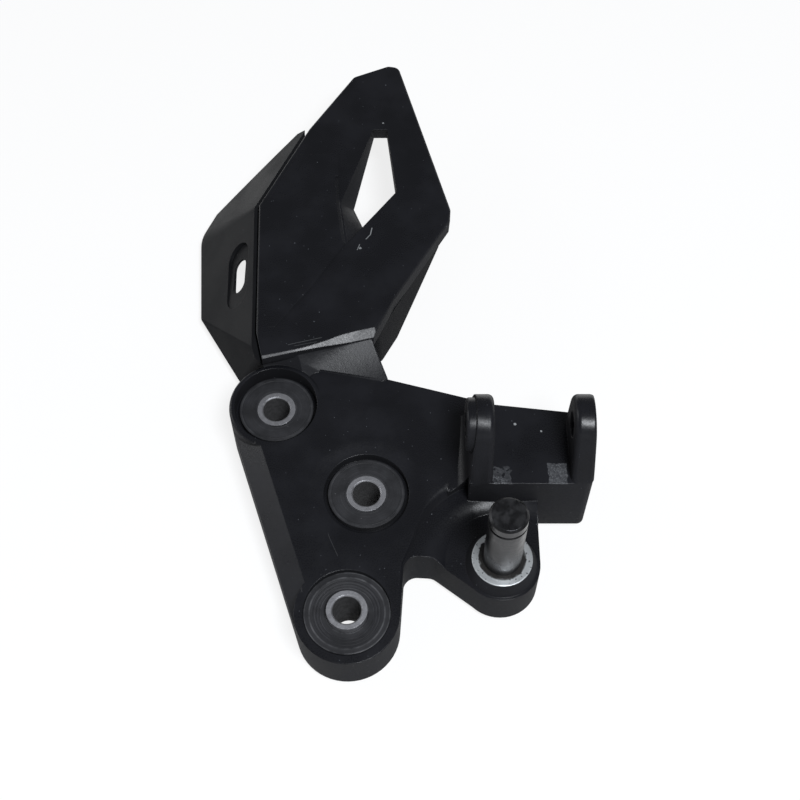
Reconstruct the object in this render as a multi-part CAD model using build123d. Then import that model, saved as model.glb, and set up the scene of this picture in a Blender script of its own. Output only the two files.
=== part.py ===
from build123d import *
import math
import os

# Right-hand footrest hanger of a motorcycle, with its heel guard. Millimetres.
# +Z points outwards from the bike along the rubber bushes, +Y is up and +X is forward.
# The origin lies on the middle bush's bolt axis, in the plane where the sleeves meet the frame.

# Bolt axes of the three bushes
upper_bush = (-30.2, 31.4)
middle_bush = (0.0, 0.0)
lower_bush = (-5.4, -39.5)

# Steel sleeves and rubber bushes
sleeve_length = 20.0
sleeve_radius = 6.3
sleeve_bore_radius = 4.4
sleeve_edge = 0.4
bush_radius = 10.2
bush_flange_radius = 12.2
bush_flange_thickness = 2.4
bush_back_gap = 1.0
bush_fit = 0.05
recess_gap = 1.4
lower_sleeve_stand = 2.3
lower_flange_radius = 13.3
lower_recess_gap = 0.15
bush_dish = 0.5

# Cast body plate and its bosses
casting_back = 2.0
body_face_height = 20.9
body_face_tilt = 3.7
body_edge_radius = 1.3
upper_boss_radius = 15.5
lower_boss_radius = 16.2
swelling_radius = 20.0
swelling_rim = 1.2
swelling_rise = 1.4
bevel_width = 5.4
bevel_depth = 5.0
top_edge_root = (-14.5, 47.7)
top_edge_left = (6.6, 41.8)
top_edge_right = (33.0, 34.4)
top_edge_height = 22.0
top_facet_foot = (8.0, 30.0)

# Pedal arm: the pivot boss, its arm and the swing clearances round it
pivot = (42.3, -22.6)
arm_face = 16.0
web_face = 18.5
swing_radius = 27.6
swing_lead_in = (11.9, -24.0)
hub_clearance_radius = 17.5
ridge_radius = 12.0
ridge_run = 6.5
arm_boss_radius = 12.2
arm_edge_radius = 1.2
notch_top = -21.0
notch_left = 12.0
notch_right = 20.4
arm_crook_radius = 4.5
hub_base_radius = 11.3
hub_top_radius = 9.4
hub_height = 4.3

# Pedal pivot stud
stud_radius = 5.9
stud_reach = 30.0
stud_edge = 0.7
stud_shank_radius = 5.0
stud_fit = 0.02
groove_radius = 5.3
groove_width = 1.3
groove_from_end = 3.6

# Footrest clevis
ear_thickness = 7.2
ear_gap = 24.4
clevis_left = 32.4
ear_radius = 9.5
ear_edge_radius = 1.8
pin_axis_y = 13.0
pin_axis_z = 41.0
pin_hole_radius = 4.1
pin_seat_radius = 8.0
pin_seat_depth = 1.2
stop_face = 30.0
stop_bottom = -1.8
stop_top_left = 27.2
stop_top_right = 23.4
clevis_corner_radius = 2.5
clevis_blend_radius = 6.0

# Heel guard plate, the part of the casting beside the rider's heel
guard_face = 30.0
guard_thickness = 6.0
guard_edge = 1.2
guard_corner_radius = 4.0
guard_tip_radius = 3.0
sill_run = 2.4
sill_drop = 1.4
island_rise = 1.7

# Neck that carries the guard
neck_back = 5.0
neck_fold_right = (6.1, 41.3)
neck_fold_left = (-15.0, 45.2)
neck_fold_height = 22.4
neck_guard_foot = (0.6, 54.4)
neck_guard_height = 27.5
boss_relief_low = 21.4
boss_relief_high = 24.1
boss_relief_top = 26.5
boss_relief_radius = 20.2

# Cover behind the guard
cover_wall = 2.4
cover_front = 28.0
cover_rim_gap = 0.5
cover_back = 4.0
cover_back_start = 25.0
cover_back_slope = 0.55
cover_fit = 0.4
cover_fold_radius = 3.2
cover_shoulder_radius = 16.0
slot_centre = (-46.7, 86.0)
slot_width = 6.4
slot_length = 14.0
slot_seat_width = 11.6
slot_seat_length = 27.0
slot_seat_depth = 1.0

# Screws that hold the cover to the guard
screw_radius = 2.5
screw_fit = 0.05
screw_hole_gap = 0.3
screw_engagement = 4.0
screw_head_radius = 4.6
screw_head_height = 2.8
screw_socket_radius = 1.7
screw_socket_depth = 1.6
screw_places = ((-30.0, 80.0), (-27.0, 108.0), (8.0, 90.0))

guard_back = guard_face - guard_thickness
clevis_right = clevis_left + 2 * ear_thickness + ear_gap
flange_back = sleeve_length - bush_flange_thickness
lower_flange_face = sleeve_length - lower_sleeve_stand
hub_top = arm_face + hub_height
space = 400.0

# Outline of the guard plate, seen from outside, from its lower left corner round by the tip
guard_outline = (
    (-35.0, 45.0),
    (-37.6, 56.5),
    (-39.8, 111.0),
    (-23.2, 147.9),
    (-7.1, 174.9),
    (6.1, 180.8),
    (10.2, 180.0),
    (28.8, 109.0),
    (28.1, 103.3),
    (8.7, 69.5),
    (1.9, 54.4),
)

# The window in the guard, at its front face and at its back
window_front = ((0.6, 147.0), (5.9, 147.0), (9.5, 117.0), (-7.8, 93.3), (-10.6, 111.5))
window_back = ((0.9, 148.5), (5.8, 148.5), (9.4, 117.2), (-1.4, 102.1), (-6.0, 113.4))

# The raised island left of the window
island_outline = (
    (-34.7, 57.5),
    (-37.6, 110.6),
    (-27.0, 134.0),
    (-12.0, 134.0),
    (-11.0, 112.1),
    (-8.4, 92.8),
    (-19.7, 73.5),
    (-31.4, 57.6),
)

# Outline of the cover at its front rim and at its back, corner for corner
cover_rim = (
    (-36.8, 44.0),
    (-38.9, 51.0),
    (-41.5, 111.0),
    (-24.6, 149.0),
    (28.0, 105.6),
    (3.0, 58.0),
)
cover_foot = (
    (-44.7, 51.0),
    (-61.2, 79.0),
    (-64.2, 116.0),
    (-47.0, 157.4),
    (28.6, 106.6),
    (4.0, 60.5),
)

# Upper edge of the cover's web, which passes below and left of the window
web_edge = ((-25.0, 150.0), (-25.0, 143.0), (-12.0, 97.0), (26.5, 99.0), (30.0, 108.0))


def disc(place, radius, low, high):
    """Round bar along Z between two heights."""
    return Pos(place[0], place[1], low) * extrude(Circle(radius), high - low)


def cone(place, low_radius, high_radius, low, high):
    """Tapered round bar along Z between two heights."""
    middle = (low + high) / 2
    return Pos(place[0], place[1], middle) * Cone(low_radius, high_radius, high - low)


def outline(points):
    """Flat face with a polygon outline."""
    return make_face(Polyline(*points, close=True))


def prism(points, low, high):
    """Straight block with a polygon outline, between two heights."""
    return Pos(0, 0, low) * extrude(outline(points), high - low)


def nearest(corners, place):
    """Corner of a sketch that lies nearest to a place."""
    return corners.sort_by(lambda corner: math.hypot(corner.X - place[0], corner.Y - place[1]))[0]


def rounded(shape, places, radius):
    """The sketch with the corners at some places rounded."""
    for place in places:
        shape = fillet(nearest(shape.vertices(), place), radius)
    return shape


def above_plane(first, second, third):
    """All the space above the plane through three points."""
    first, second, third = Vector(*first), Vector(*second), Vector(*third)
    along = second - first
    upwards = along.cross(third - first)
    if upwards.Z < 0:
        upwards = -upwards
    return Plane(origin=first, x_dir=along, z_dir=upwards) * Pos(0, 0, space / 2) * Box(space, space, space)


def face_height(y):
    """Height of the body plate's front face, which leans back towards its lower end."""
    return body_face_height + y * math.tan(math.radians(body_face_tilt))


def above_face():
    """All the space in front of the body plate's leaning face."""
    level = face_height(0)
    return above_plane((0, 0, level), (1, 0, level), (0, 1, face_height(1)))


def above_top_facet():
    """Space in front of the facet that falls away towards the body plate's top edge."""
    foot = (*top_facet_foot, face_height(top_facet_foot[1]))
    return above_plane((*top_edge_left, top_edge_height), (*top_edge_right, top_edge_height), foot)


def strap_outline():
    """Outline that wraps the upper and lower bosses, with straight sides tangent to both."""
    upper = CenterArc(upper_bush, upper_boss_radius, 0, 360)
    lower = CenterArc(lower_bush, lower_boss_radius, 0, 360)
    return make_hull([upper, lower])


def tangent_point(place, centre, radius, side):
    """Point where a line from a place touches a circle, on its left side (1) or right side (-1)."""
    dx, dy = centre[0] - place[0], centre[1] - place[1]
    distance = math.hypot(dx, dy)
    heading = math.atan2(dy, dx) + side * math.asin(radius / distance)
    length = math.sqrt(distance**2 - radius**2)
    return place[0] + length * math.cos(heading), place[1] + length * math.sin(heading)


def body_outline(right_side):
    """Outline of the body plate, given the points of its right side from the lower boss upwards."""
    web = outline(
        (
            upper_bush,
            lower_bush,
            tangent_point(right_side[0], lower_bush, lower_boss_radius, 1),
            *right_side,
            (clevis_left + ear_thickness, pivot[1]),
            (clevis_left + ear_thickness, stop_top_left),
            top_edge_right,
            top_edge_left,
            top_edge_root,
        )
    )
    return strap_outline() + web


def arm_outline():
    """Outline of the pedal arm and its pivot boss."""
    boss_left = (pivot[0] - arm_boss_radius * math.cos(math.radians(45)),
                 pivot[1] - arm_boss_radius * math.sin(math.radians(45)))
    arm = outline(
        (
            (notch_left - arm_crook_radius, notch_top),
            (notch_right, notch_top),
            boss_left,
            pivot,
            (pivot[0] + arm_boss_radius, pivot[1]),
            (pivot[0] + arm_boss_radius, stop_bottom + 1),
            (notch_left - arm_crook_radius, stop_bottom + 1),
        )
    )
    return arm + Pos(*pivot) * Circle(arm_boss_radius)


def low_layer():
    """Whole plate up to the web's height, with the arm cut down round the hub."""
    shape = body_outline([(notch_left, notch_top)]) + arm_outline()
    shape = rounded(shape, [(notch_left, notch_top), (notch_right, notch_top)], arm_crook_radius)
    layer = Pos(0, 0, casting_back) * extrude(shape, web_face - casting_back)
    layer -= above_face()
    return layer - hub_clearance()


def hub_clearance():
    """Turned space above the arm, with a soft upper rim, that the pedal's boss swings in."""
    profile = make_face(
        Polyline(
            (0, web_face + 1),
            (0, arm_face),
            (hub_clearance_radius, arm_face),
        )
        + RadiusArc((hub_clearance_radius, arm_face), (hub_clearance_radius + ridge_run, web_face), ridge_radius)
        + Polyline(
            (hub_clearance_radius + ridge_run, web_face),
            (hub_clearance_radius + ridge_run, web_face + 1),
            (0, web_face + 1),
        )
    )
    return Pos(*pivot) * revolve(Plane.XZ * profile, Axis.Z)


def side_bevel():
    """Wedge cut off the body plate's straight left side, between the two bosses."""
    dx = lower_bush[0] - upper_bush[0]
    dy = lower_bush[1] - upper_bush[1]
    span = math.hypot(dx, dy)
    turn = math.asin((lower_boss_radius - upper_boss_radius) / span)
    heading = math.atan2(dy, dx) - turn
    outward = Vector(math.sin(heading), -math.cos(heading))
    start = Vector(*upper_bush) + outward * upper_boss_radius
    start = Vector(start.X, start.Y, face_height(start.Y))
    slope = math.tan(math.radians(body_face_tilt))
    along = Vector(math.cos(heading), math.sin(heading), math.sin(heading) * slope)
    face_normal = Vector(0, -slope, 1)
    inward = along.cross(face_normal)
    if inward.dot(outward) > 0:
        inward = -inward
    section = Plane(origin=start, x_dir=inward, z_dir=along)
    up = 1 if section.y_dir.Z > 0 else -1
    wedge = outline(
        (
            (-bevel_width, -2 * bevel_depth * up),
            (2 * bevel_width, bevel_depth * up),
            (-bevel_width, bevel_depth * up),
        )
    )
    return extrude(section * wedge, span)


def body_plate():
    """Raised plate with a leaning front face, rounded edges and a bevel down its left side."""
    side_end = tangent_point(swing_lead_in, pivot, swing_radius, 1)
    raised = body_outline([swing_lead_in, side_end, pivot]) - Pos(*pivot) * Circle(swing_radius)
    plate = Pos(0, 0, casting_back) * extrude(raised, guard_face - casting_back)
    plate -= above_face()
    face = plate.faces().filter_by(lambda f: f.normal_at().Z > 0.9).sort_by(Axis.Z)[-1]
    plate = fillet(face.edges(), body_edge_radius)
    return plate - side_bevel()


def boss(place, radius):
    """Bush boss with its front cut to the leaning face and its rim rounded."""
    solid = disc(place, radius, casting_back, guard_face) - above_face()
    return fillet(solid.faces().sort_by(Axis.Z)[-1].edges(), body_edge_radius)


def middle_swelling():
    """Low round rise on the leaning face round the middle bush."""
    height = 2 * swelling_rise
    top = bush_flange_radius + recess_gap + swelling_rim
    rise = Pos(0, 0, swelling_rise - height / 2) * Cone(swelling_radius + swelling_rim, top, height)
    rise = fillet(rise.edges().sort_by(Axis.Z)[-1], swelling_rim / 2)
    return Pos(middle_bush[0], middle_bush[1], face_height(middle_bush[1])) * Rot(X=body_face_tilt) * rise


def bush_space(place, recess_radius, floor, top):
    """Bore and recess for one bush, as one turned space."""
    points = (
        (0, casting_back - 1),
        (bush_radius + bush_fit, casting_back - 1),
        (bush_radius + bush_fit, floor),
        (recess_radius, floor),
        (recess_radius, top),
        (0, top),
    )
    return Pos(*place) * revolve(Plane.XZ * outline(points), Axis.Z)


def bush_spaces():
    """Bores and recesses for the three bushes."""
    recess = bush_flange_radius + recess_gap
    lower_recess = lower_flange_radius + lower_recess_gap
    lower_floor = lower_flange_face - bush_flange_thickness
    return [
        bush_space(upper_bush, recess, flange_back, boss_relief_top),
        bush_space(middle_bush, recess, flange_back, guard_face),
        bush_space(lower_bush, lower_recess, lower_floor, guard_face),
    ]


def clevis():
    """Footrest clevis: a block with a flat stop face and two ears bored for the footrest's pin."""
    corners = (
        (clevis_left, stop_bottom),
        (clevis_right, stop_bottom),
        (clevis_right, stop_top_right),
        (clevis_left + ear_thickness, stop_top_left),
        (clevis_left, stop_top_left),
    )
    shape = rounded(outline(corners), [(clevis_right, stop_bottom)], clevis_corner_radius)
    block = Pos(0, 0, casting_back) * extrude(shape, stop_face - casting_back)
    left = ear(clevis_left, stop_top_left)
    right = ear(clevis_right - ear_thickness, stop_top_right)
    return block + left + right


def ear(inner_x, top_y):
    """One ear, with a round end about the pin's axis and soft edges."""
    round_end = CenterArc((pin_axis_y, pin_axis_z), ear_radius, 0, 360)
    base = Line((stop_bottom, stop_face), (top_y, stop_face))
    profile = make_hull([round_end, base])
    solid = Pos(inner_x, 0, 0) * extrude(Plane.YZ * profile, ear_thickness)
    soft = solid.edges().filter_by(lambda edge: edge.center().Z > stop_face + 1)
    soft = soft.filter_by(lambda edge: abs(edge.center().X - inner_x - ear_thickness / 2) > 1)
    return fillet(soft, ear_edge_radius)


def clevis_blend():
    """Hollow curve between the left ear's outer side and the body plate's face."""
    foot = face_height(stop_bottom) - 1
    radius = clevis_blend_radius
    top = foot + 1 + radius
    profile = make_face(
        Polyline((clevis_left - radius, foot + 1), (clevis_left - radius, foot), (clevis_left + 1, foot))
        + Polyline((clevis_left + 1, foot), (clevis_left + 1, top), (clevis_left, top))
        + RadiusArc((clevis_left, top), (clevis_left - radius, foot + 1), radius)
    )
    length = stop_top_left - stop_bottom
    return Pos(0, stop_top_left, 0) * extrude(Plane.XZ * profile, length)


def guard():
    """Guard plate with its sill, raised island, window and softened front edges."""
    shape = rounded(outline(guard_outline), guard_outline[4:7], guard_tip_radius)
    shape = rounded(shape, [guard_outline[7]], guard_corner_radius)
    plate = Pos(0, 0, guard_back) * extrude(shape, guard_thickness)
    left, right = guard_outline[0], guard_outline[-1]
    sill_height = guard_face - sill_drop
    plate -= above_plane(
        (*left, guard_face),
        (right[0], right[1] + sill_run, guard_face),
        (*right, sill_height),
    )
    face = plate.faces().filter_by(lambda f: f.normal_at().Z > 0.999).sort_by(Axis.Z)[-1]
    rim = face.edges().filter_by(lambda edge: edge.center().Y > left[1] + 2 * guard_edge + 8)
    plate = fillet(rim, guard_edge)
    plate += island()
    window = loft([Pos(0, 0, guard_face) * outline(window_front), Pos(0, 0, guard_back) * outline(window_back)],
                  ruled=True)
    front = Pos(0, 0, guard_face) * extrude(outline(window_front), 2 * island_rise)
    return plate - window - front


def island():
    """Raised part of the guard's face, which rises from nothing at its left side."""
    block = prism(island_outline, guard_face - guard_thickness / 2, guard_face + 2 * island_rise)
    left_low, left_high = island_outline[0], island_outline[1]
    peak = island_outline[5]
    return block - above_plane(
        (*left_low, guard_face),
        (*left_high, guard_face),
        (*peak, guard_face + island_rise),
    )


def neck_outline(gap=0.0):
    """Outline of the neck, from the body plate up to its root behind the guard."""
    right = guard_outline[-1]
    shape = outline(
        (
            (top_edge_left[0], top_edge_left[1]),
            (right[0] + 0.6, right[1] - 3),
            (right[0] - 4, right[1] + 8),
            (neck_fold_left[0], right[1] + 18),
            (guard_outline[1][0] + 8, right[1] + 14),
            (guard_outline[0][0] + 1.5, guard_outline[0][1] + 2),
            upper_bush,
            (neck_fold_left[0], upper_bush[1]),
        )
    )
    return offset(shape, gap, kind=Kind.INTERSECTION) if gap else shape


def neck():
    """Neck that rises from the body plate to the guard, hollowed by a cone round the upper bush."""
    solid = Pos(0, 0, neck_back) * extrude(neck_outline(), guard_back + guard_thickness / 2 - neck_back)
    facet = above_plane(
        (*neck_fold_right, neck_fold_height),
        (*neck_fold_left, neck_fold_height),
        (*neck_guard_foot, neck_guard_height),
    )
    return solid - facet


def boss_relief():
    """Dished space round the upper bush, cut into the neck and under the guard's lower corner."""
    points = (
        (0, boss_relief_low),
        (bush_flange_radius + recess_gap, boss_relief_low),
        (boss_relief_radius, boss_relief_high),
        (boss_relief_radius, boss_relief_top),
        (0, boss_relief_top),
    )
    return Pos(*upper_bush) * revolve(Plane.XZ * outline(points), Axis.Z)


def casting():
    """The whole hanger casting, one piece of metal."""
    body = low_layer() + body_plate()
    body -= above_top_facet()
    body += [boss(upper_bush, upper_boss_radius), boss(lower_bush, lower_boss_radius)]
    body += middle_swelling()
    body += cone(pivot, hub_base_radius, hub_top_radius, arm_face, hub_top)
    body += [clevis(), clevis_blend()]
    body += neck() + guard() - boss_relief()
    for hollow in bush_spaces():
        body -= hollow
    body -= disc(pivot, stud_shank_radius + stud_fit, casting_back - 1, hub_top + 1)
    body -= pin_bore()
    for place in screw_places:
        body -= disc(place, screw_radius + screw_fit, guard_back - 1, guard_back + screw_engagement)
    return body


def pin_bore():
    """Bore for the footrest's pin through both ears, with a shallow seat on the left one."""
    start = Pos(clevis_left, pin_axis_y, pin_axis_z) * Rot(Y=90)
    through = start * Pos(0, 0, -1) * extrude(Circle(pin_hole_radius), clevis_right - clevis_left + 2)
    seat = start * Pos(0, 0, -1) * extrude(Circle(pin_seat_radius), pin_seat_depth + 1)
    return through + seat


def sleeve(place):
    """Steel spacer sleeve, through the bush from the frame side to the bolt head."""
    tube = disc(place, sleeve_radius, 0, sleeve_length) - disc(place, sleeve_bore_radius, -1, sleeve_length + 1)
    bore_ends = tube.edges().filter_by(GeomType.CIRCLE).filter_by(lambda e: e.radius < sleeve_radius - 1)
    return chamfer(bore_ends, sleeve_edge)


def flanged_bush(place, flange_radius, flange_face):
    """Rubber bush with a flange in the casting's recess."""
    floor = flange_face - bush_flange_thickness
    solid = disc(place, bush_radius, casting_back + bush_back_gap, flange_face)
    solid += disc(place, flange_radius, floor, flange_face)
    return solid - disc(place, sleeve_radius + bush_fit, 0, sleeve_length + 1)


def lower_bush_solid():
    """Lower bush, whose wider flange is dished round its sleeve."""
    solid = flanged_bush(lower_bush, lower_flange_radius, lower_flange_face)
    rim = 1.6
    dish = cone(lower_bush, sleeve_radius + rim, lower_flange_radius - rim,
                lower_flange_face - bush_dish, lower_flange_face + 0.01)
    return solid - dish


def stud():
    """Bare steel pin that the pedal turns on, with a clip groove near its end."""
    top = hub_top + stud_reach
    solid = disc(pivot, stud_radius, hub_top, top) + disc(pivot, stud_shank_radius, casting_back, hub_top)
    end = solid.edges().filter_by(GeomType.CIRCLE).sort_by(Axis.Z)[-1]
    solid = chamfer(end, stud_edge)
    groove_top = top - groove_from_end
    ring = disc(pivot, stud_radius + 1, groove_top - groove_width, groove_top)
    ring -= disc(pivot, groove_radius, groove_top - groove_width, groove_top)
    return solid - ring


def cover_shape(inset, low, high):
    """Flared body of the cover, or its hollow when it is inset."""
    sections = []
    for level, corners, radius in ((low, cover_foot, cover_shoulder_radius), (high, cover_rim, cover_fold_radius)):
        shape = outline(corners)
        shape = rounded(shape, [corners[0], corners[1], corners[4], corners[5]], cover_fold_radius)
        shape = rounded(shape, [corners[2]], radius)
        if inset:
            shape = offset(shape, -inset, kind=Kind.INTERSECTION)
        sections.append(Pos(0, 0, level) * shape)
    return loft(sections, ruled=True)


def cover_back_space():
    """Space behind the cover's slanting back edge."""
    first, second = cover_rim[3], cover_rim[4]
    along = Vector(second[0] - first[0], second[1] - first[1])
    across = Vector(along.Y, -along.X).normalized()
    reach = 50.0
    fall = reach * cover_back_slope
    deep = (first[0] + across.X * reach, first[1] + across.Y * reach, cover_back_start - fall)
    front = above_plane((*first, cover_back_start), (*second, cover_back_start), deep)
    return Box(2 * space, 2 * space, 2 * space) - front


def cover_slot():
    """Slot through the cover's left flank, with a shallow seat round it."""
    run = cover_rim[1][0] - cover_foot[1][0]
    depth = cover_front - cover_back
    rim_x = cover_rim[1][0] + (cover_rim[2][0] - cover_rim[1][0]) * 0.6
    height = cover_front + (slot_centre[0] - rim_x) * depth / run
    outward = Vector(-depth, 0, run)
    flank = Plane(origin=(*slot_centre, height), x_dir=(0, 1, 0), z_dir=outward)
    seat = extrude(flank * SlotOverall(slot_seat_length, slot_seat_width), 10)
    seat += extrude(flank * SlotOverall(slot_seat_length, slot_seat_width), -slot_seat_depth)
    through = extrude(flank * SlotOverall(slot_length, slot_width), 10)
    through += extrude(flank * SlotOverall(slot_length, slot_width), -10)
    return seat + through


def cover():
    """Moulded cover behind the guard: flared sides, a web under the guard and an open back."""
    shell = cover_shape(0, cover_back, cover_front)
    web_back = guard_back - cover_wall
    hollow = cover_shape(cover_wall, cover_back, cover_front)
    hollow -= Pos(0, 0, web_back + space / 2) * Box(2 * space, 2 * space, space)
    shell -= hollow
    shell -= Pos(0, 0, cover_back) * Pos(0, 0, -space / 2) * Box(2 * space, 2 * space, space)
    plate = offset(outline(guard_outline), cover_rim_gap, kind=Kind.INTERSECTION)
    shell -= Pos(0, 0, guard_back) * extrude(plate, guard_thickness)
    shell -= Pos(0, 0, guard_back) * extrude(offset(outline(cover_rim), -cover_rim_gap * 4), guard_thickness)
    shell -= Pos(0, 0, cover_back - 1) * extrude(neck_outline(cover_fit), cover_front)
    shell -= cover_back_space()
    shell -= Pos(0, 0, web_back - 1) * extrude(outline(web_edge), cover_front)
    shell -= cover_slot()
    for place in screw_places:
        shell -= disc(place, screw_radius + screw_hole_gap, web_back - 1, guard_back + 1)
    return shell


def screw(place):
    """Socket-head screw from the cover's inside into the guard."""
    head_face = guard_back - cover_wall
    tip = guard_back + screw_engagement - screw_fit
    solid = disc(place, screw_radius, head_face, tip)
    solid += disc(place, screw_head_radius, head_face - screw_head_height, head_face)
    socket_low = head_face - screw_head_height
    socket = Pos(*place, socket_low) * extrude(RegularPolygon(screw_socket_radius, 6), screw_socket_depth)
    return solid - socket


parts = {
    "hanger_casting": casting(),
    "bush_upper": flanged_bush(upper_bush, bush_flange_radius, sleeve_length),
    "bush_middle": flanged_bush(middle_bush, bush_flange_radius, sleeve_length),
    "bush_lower": lower_bush_solid(),
    "sleeve_upper": sleeve(upper_bush),
    "sleeve_middle": sleeve(middle_bush),
    "sleeve_lower": sleeve(lower_bush),
    "pedal_pivot_stud": stud(),
    "heel_guard_cover": cover(),
    "cover_screws": Compound([screw(place) for place in screw_places]),
}
os.makedirs("parts", exist_ok=True)
for name, solid in parts.items():
    export_step(solid, f"parts/{name}.step")
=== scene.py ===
"""Looks of the footrest hanger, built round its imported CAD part.

The bushes, sleeves, stud, cover and screws keep their CAD shapes and get their finishes here.
A copy of the casting gets its finer forms and takes the node's place, and the rubber bushes
get their moulded beads. Blender works in metres, finishes and tools are given in millimetres.
"""
import logging
import math
from dataclasses import dataclass
from enum import Enum
from typing import Any, Optional, Union

import bmesh
import bpy
from mathutils import Matrix, Vector


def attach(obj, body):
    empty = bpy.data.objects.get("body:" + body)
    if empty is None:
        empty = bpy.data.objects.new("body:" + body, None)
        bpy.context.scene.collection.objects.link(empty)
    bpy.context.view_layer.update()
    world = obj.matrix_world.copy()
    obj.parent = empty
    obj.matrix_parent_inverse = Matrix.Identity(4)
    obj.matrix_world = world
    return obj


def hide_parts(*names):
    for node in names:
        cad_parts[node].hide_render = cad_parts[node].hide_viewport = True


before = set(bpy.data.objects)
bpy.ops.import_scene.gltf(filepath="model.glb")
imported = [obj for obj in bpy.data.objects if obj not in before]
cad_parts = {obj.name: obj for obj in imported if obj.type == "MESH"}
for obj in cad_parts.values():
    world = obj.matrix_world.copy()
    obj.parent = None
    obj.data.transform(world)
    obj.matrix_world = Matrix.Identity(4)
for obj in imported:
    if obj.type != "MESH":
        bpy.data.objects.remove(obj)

LOG = logging.getLogger("hanger")
BODY = "root"
MILLIMETRE = 0.001
MERGE_GAP = 0.0005 * MILLIMETRE
NOISE_SPAN = 4.0
WALL_STARTS, WALL_FULL = 0.78, 0.45

Colour = tuple[float, float, float]
Place = tuple[float, float, float]
Spot = tuple[float, float]


class Slot(Enum):
    """Material slots of the part's record."""

    BLACK_PAINT = "black_paint"
    BUSH_RUBBER = "bush_rubber"
    ZINC_STEEL = "zinc_steel"
    BARE_STEEL = "bare_steel"
    BLACK_PLASTIC = "black_plastic"
    SCREW_STEEL = "screw_steel"


class Sum(Enum):
    """Sums that a Math node can do on two numbers."""

    ADD = "ADD"
    SUBTRACT = "SUBTRACT"
    MULTIPLY = "MULTIPLY"
    DIVIDE = "DIVIDE"
    LARGER = "MAXIMUM"
    SMALLER = "MINIMUM"
    ABOVE = "GREATER_THAN"


class Signal:
    """Output of a node, which Python sums can use as a number."""

    def __init__(self, recipe: "Recipe", socket: bpy.types.NodeSocket) -> None:
        """Keep the recipe that the output belongs to, and its socket."""
        self.recipe = recipe
        self.socket = socket

    def _sum(self, kind: Sum, first: "Number", second: "Number") -> "Signal":
        """One Math node on two numbers."""
        return self.recipe.node("ShaderNodeMath", {"operation": kind.value}, {0: first, 1: second})

    def __add__(self, other: "Number") -> "Signal":
        """This number plus another."""
        return self._sum(Sum.ADD, self, other)

    def __radd__(self, other: "Number") -> "Signal":
        """Another number plus this one."""
        return self._sum(Sum.ADD, other, self)

    def __sub__(self, other: "Number") -> "Signal":
        """This number less another."""
        return self._sum(Sum.SUBTRACT, self, other)

    def __rsub__(self, other: "Number") -> "Signal":
        """Another number less this one."""
        return self._sum(Sum.SUBTRACT, other, self)

    def __mul__(self, other: "Number") -> "Signal":
        """This number times another."""
        return self._sum(Sum.MULTIPLY, self, other)

    def __rmul__(self, other: "Number") -> "Signal":
        """Another number times this one."""
        return self._sum(Sum.MULTIPLY, other, self)

    def __truediv__(self, other: "Number") -> "Signal":
        """This number divided by another."""
        return self._sum(Sum.DIVIDE, self, other)

    def __gt__(self, other: "Number") -> "Signal":
        """1 where this number is above another, else 0."""
        return self._sum(Sum.ABOVE, self, other)

    def or_more(self, other: "Number") -> "Signal":
        """The larger of two numbers."""
        return self._sum(Sum.LARGER, self, other)

    def or_less(self, other: "Number") -> "Signal":
        """The smaller of two numbers."""
        return self._sum(Sum.SMALLER, self, other)

    def step(self, low: float, high: float) -> "Signal":
        """Smooth rise from 0 at one value to 1 at another, or a fall where the first is the larger.

        Args:
            low: Value that gives 0.
            high: Value that gives 1.

        Returns:
            The mask, from 0 to 1.
        """
        if low > high:
            return 1.0 - self.step(high, low)
        return self.recipe.node(
            "ShaderNodeMapRange",
            {"interpolation_type": "SMOOTHSTEP", "clamp": True},
            {"Value": self, "From Min": low, "From Max": high, "To Min": 0.0, "To Max": 1.0},
        )


Number = Union[Signal, float]
Shade = Union[Signal, Colour]


def scaled(colour: Colour, factor: float) -> Colour:
    """A colour made lighter or darker by a factor."""
    return tuple(factor * part for part in colour)


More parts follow.
